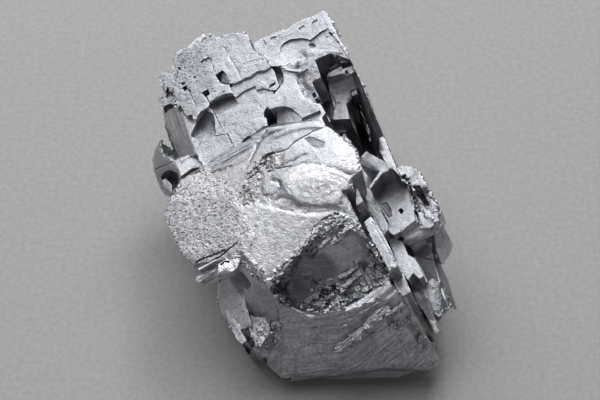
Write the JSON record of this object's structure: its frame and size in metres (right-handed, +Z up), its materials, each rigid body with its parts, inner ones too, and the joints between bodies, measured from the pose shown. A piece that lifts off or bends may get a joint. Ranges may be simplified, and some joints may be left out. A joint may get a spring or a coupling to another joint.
{
  "type": "skeletal galena specimen",
  "caption": "Skeletal galena: intergrown stepped and hollow lead-grey cubes with a fractured front, lying on a flat broken base.",
  "frame": {"origin": "centre of the bounding box in plan, on the flat broken base", "axes": "+Z up from the surface it lies on, -Y towards the fractured striated front, +X towards the open lattice of bars"},
  "size_m": [0.0604, 0.0686, 0.0425],
  "materials": {
    "galena": "metallic lead grey, satin"
  },
  "bodies": {
    "root": {"galena": "galena"}
  },
  "joints": []
}
